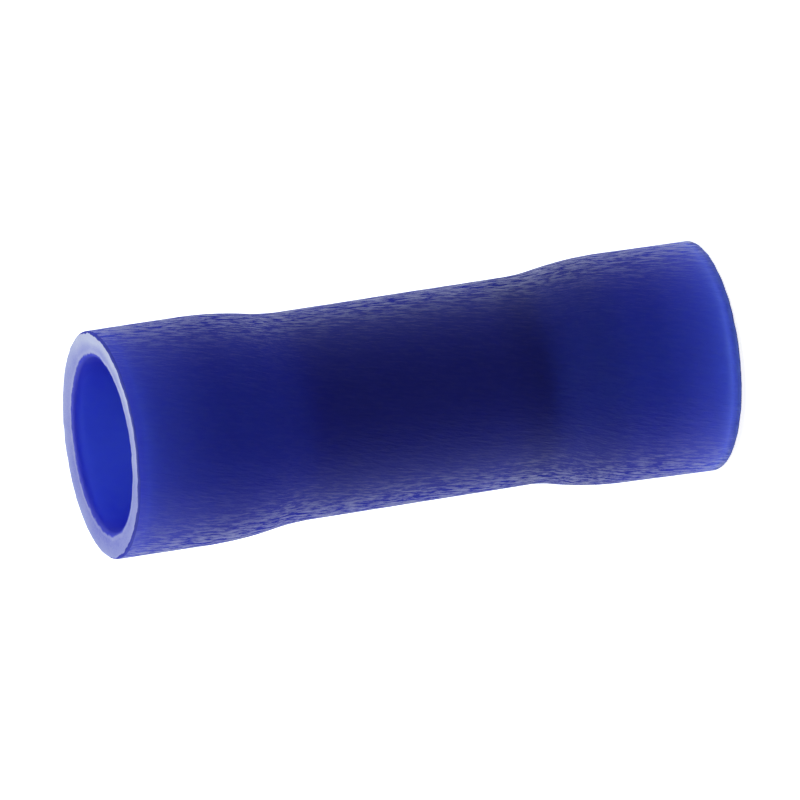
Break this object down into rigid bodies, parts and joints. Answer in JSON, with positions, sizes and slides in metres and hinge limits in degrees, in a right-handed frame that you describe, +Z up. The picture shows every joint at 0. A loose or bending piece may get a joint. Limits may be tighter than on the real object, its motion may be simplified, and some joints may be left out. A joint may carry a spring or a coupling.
{
  "type": "parallel splice connector",
  "caption": "Insulated parallel splice: a tinned copper crimp barrel held in a blue vinyl sleeve that opens into a bell mouth at each end, for joining wires.",
  "frame": {"origin": "centre of the lower rim of the sleeve, on its axis, where the part stands", "axes": "+Z up along the common axis of sleeve and barrel; the seam of the barrel faces +X"},
  "size_m": [0.0065, 0.0064, 0.0181],
  "materials": {
    "blue_vinyl": "translucent soft vinyl, satin, with fine drawn lines along the axis",
    "tinned_copper": "electro-tinned, satin silver"
  },
  "bodies": {
    "root": {"insulating_sleeve": "blue_vinyl", "crimp_barrel": "tinned_copper"}
  },
  "joints": []
}
